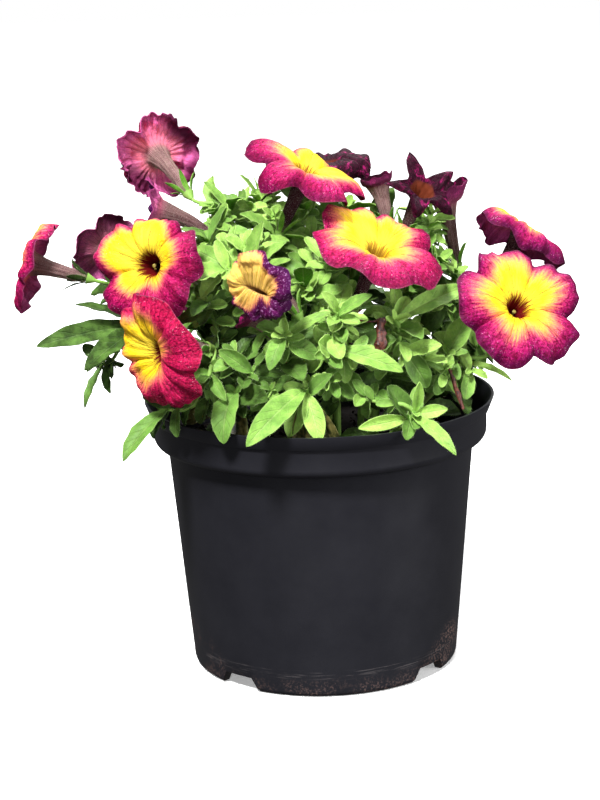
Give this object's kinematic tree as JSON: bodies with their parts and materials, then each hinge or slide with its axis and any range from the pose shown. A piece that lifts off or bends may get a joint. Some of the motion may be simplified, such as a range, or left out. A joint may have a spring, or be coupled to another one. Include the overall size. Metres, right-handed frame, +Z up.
{
  "type": "potted petunia",
  "caption": "Young bedding petunia with funnel-shaped five-lobed blooms on leafy stems, standing in potting mix in a round tapered nursery pot.",
  "frame": {"origin": "on the ground, below the middle of the whole plant's width and depth, so the pot's own axis is 8 mm to its +X and 3 mm to its -Y", "axes": "+Z up along the pot's axis; -Y is the front, the side that the picture shows; +X is the right of that view"},
  "size_m": [0.2687, 0.1985, 0.2691],
  "materials": {
    "pot_plastic": "satin",
    "potting_mix": "matte",
    "foliage": "matte",
    "petals": "matte",
    "old_petals": "matte"
  },
  "bodies": {
    "root": {"pot": "pot_plastic", "soil": "potting_mix", "stem_far_left": "foliage", "stem_left_front": "foliage", "stem_left_low": "foliage", "stem_left_top": "foliage", "stem_front_left": "foliage", "stem_centre_left": "foliage", "stem_top": "foliage", "stem_top_back": "foliage", "stem_centre": "foliage", "stem_centre_front": "foliage", "stem_right_top": "foliage", "stem_right": "foliage", "stem_right_mid": "foliage", "stem_right_front": "foliage", "stem_front_right": "foliage", "stem_front_low": "foliage", "stem_back_left": "foliage", "stem_back": "foliage", "stem_back_right": "foliage", "stem_left_back": "foliage", "stem_right_back": "foliage", "corolla_upper_left": "petals", "corolla_old_left": "old_petals", "corolla_top_front": "petals", "corolla_top_hidden": "old_petals", "corolla_top_back": "old_petals", "corolla_top_bud": "old_petals", "corolla_centre": "petals", "corolla_star": "old_petals", "corolla_right_closing": "old_petals", "corolla_far_right": "petals", "corolla_right_front": "petals", "corolla_left_front": "petals", "corolla_low_left": "petals", "corolla_far_left": "petals", "corolla_left_back": "old_petals", "corolla_wilted": "old_petals", "corolla_wilted_small": "old_petals", "corolla_back_left": "petals", "corolla_back": "petals"}
  },
  "joints": []
}
